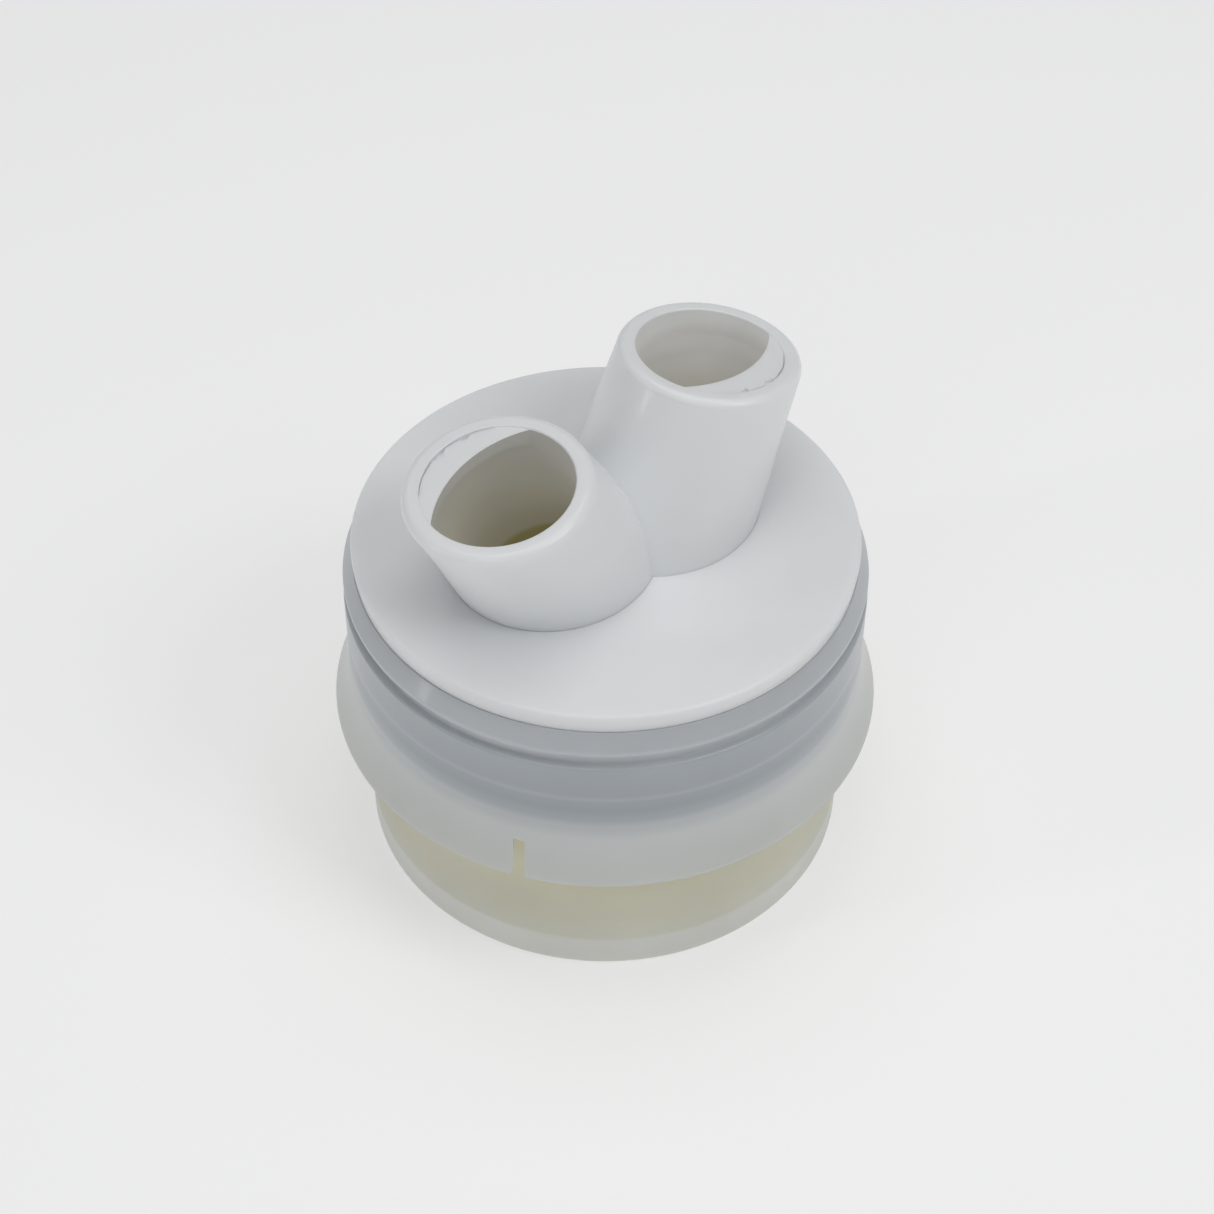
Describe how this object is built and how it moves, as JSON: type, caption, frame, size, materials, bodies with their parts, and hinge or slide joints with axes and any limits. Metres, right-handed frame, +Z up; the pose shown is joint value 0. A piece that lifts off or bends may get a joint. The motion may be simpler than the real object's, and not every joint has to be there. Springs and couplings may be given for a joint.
{
  "type": "twin-port airlock stopper",
  "caption": "Round plug-in vessel stopper with splayed conical hose ports, translucent flared collar, soft silicone plug and a gravity-closed one-way valve inside.",
  "frame": {"origin": "centre of the plug's flat base, on the stopper's axis", "axes": "+Z up along the axis towards the ports; the port mouths lie along +X and -X"},
  "size_m": [0.0556, 0.0556, 0.0532],
  "materials": {
    "white_plastic": "satin moulded, cool white",
    "smoky_plastic": "translucent blue-grey, frosted towards the skirt",
    "natural_plastic": "natural milky moulded",
    "yellow_silicone": "translucent yellowish silicone, soft satin",
    "seal_rubber": "dull seal rubber",
    "clip_steel": "stamped stainless"
  },
  "bodies": {
    "base": {"plug": "yellow_silicone", "core": "natural_plastic", "seat_gasket": "seal_rubber", "valve_seat": "natural_plastic", "snap_ring": "clip_steel"},
    "valve": {"valve_washer": "yellow_silicone", "poppet": "natural_plastic", "stem_clip": "clip_steel"},
    "collar": {"collar": "smoky_plastic"},
    "ring": {"lip_ring": "smoky_plastic"},
    "cap": {"port_cap": "white_plastic", "cap_oring": "seal_rubber"}
  },
  "joints": [
    {"name": "valve_lift", "type": "slide", "parent": "base", "child": "valve", "axis": [0, 0, 1], "range_m": [0, 0.0025]},
    {"name": "collar_lift", "type": "slide", "parent": "base", "child": "collar", "axis": [0, 0, 1], "range_m": [0, 0.01]},
    {"name": "ring_lift", "type": "slide", "parent": "collar", "child": "ring", "axis": [0, 0, 1], "range_m": [0, 0.01]},
    {"name": "cap_swivel", "type": "hinge", "parent": "ring", "child": "cap", "pos_m": [0, 0, 0.0348], "axis": [0, 0, 1], "continuous": true}
  ]
}
